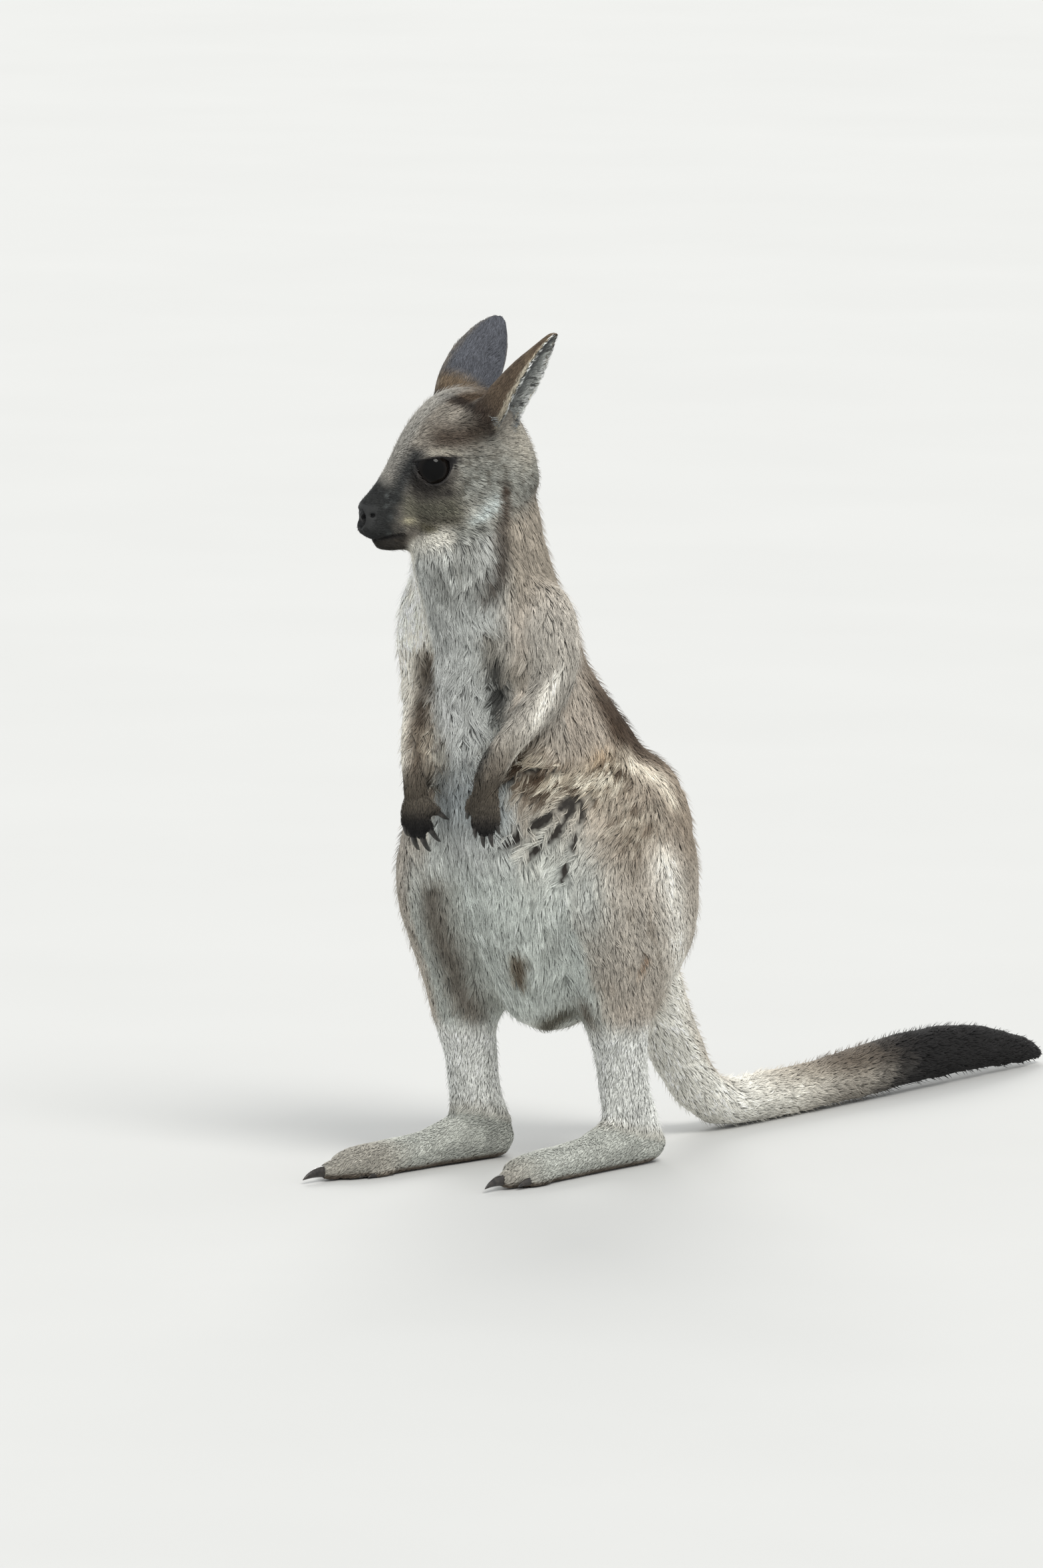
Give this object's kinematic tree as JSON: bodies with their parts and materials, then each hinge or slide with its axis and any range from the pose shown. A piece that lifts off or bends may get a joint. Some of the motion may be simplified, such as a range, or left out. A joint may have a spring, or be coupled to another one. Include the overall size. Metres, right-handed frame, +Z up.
{
  "type": "kangaroo figure",
  "caption": "Still, life-size model of a young grey kangaroo standing upright on both hind feet and its tail, forepaws hanging, head turned to its right.",
  "frame": {"origin": "on the floor in the middle of the ground plan (bounding box bottom centre)", "axes": "+Z up, chest faces -Y, tail runs towards +Y, the animal's left side is +X"},
  "size_m": [0.172, 0.7614, 0.5569],
  "materials": {
    "fur_brown": "matt, furred",
    "fur_pale": "matt, furred",
    "fur_dark": "matt, furred",
    "claw_horn": "satin",
    "eye_gloss": "polished",
    "nose_skin": "satin"
  },
  "bodies": {
    "root": {"belly": "fur_pale", "chest": "fur_pale", "claw_left_foot_fifth": "claw_horn", "claw_left_foot_fourth": "claw_horn", "claw_left_foot_second": "claw_horn", "claw_left_foot_third": "claw_horn", "claw_left_hand_fifth": "claw_horn", "claw_left_hand_first": "claw_horn", "claw_left_hand_fourth": "claw_horn", "claw_left_hand_second": "claw_horn", "claw_left_hand_third": "claw_horn", "claw_right_foot_fifth": "claw_horn", "claw_right_foot_fourth": "claw_horn", "claw_right_foot_second": "claw_horn", "claw_right_foot_third": "claw_horn", "claw_right_hand_fifth": "claw_horn", "claw_right_hand_first": "claw_horn", "claw_right_hand_fourth": "claw_horn", "claw_right_hand_second": "claw_horn", "claw_right_hand_third": "claw_horn", "ear_left": "fur_brown", "ear_right": "fur_brown", "elbow_left": "fur_brown", "elbow_right": "fur_brown", "eye_left": "eye_gloss", "eye_right": "eye_gloss", "foot_left": "fur_pale", "foot_right": "fur_pale", "forearm_left": "fur_brown", "forearm_right": "fur_brown", "hand_left": "fur_dark", "hand_right": "fur_dark", "head": "fur_brown", "neck": "fur_brown", "nose": "nose_skin", "shank_left": "fur_pale", "shank_right": "fur_pale", "tail_1": "fur_brown", "tail_2": "fur_brown", "tail_3": "fur_brown", "tail_4": "fur_dark", "tail_5": "fur_dark", "thigh_left": "fur_brown", "thigh_right": "fur_brown", "upper_arm_left": "fur_brown", "upper_arm_right": "fur_brown"}
  },
  "joints": []
}
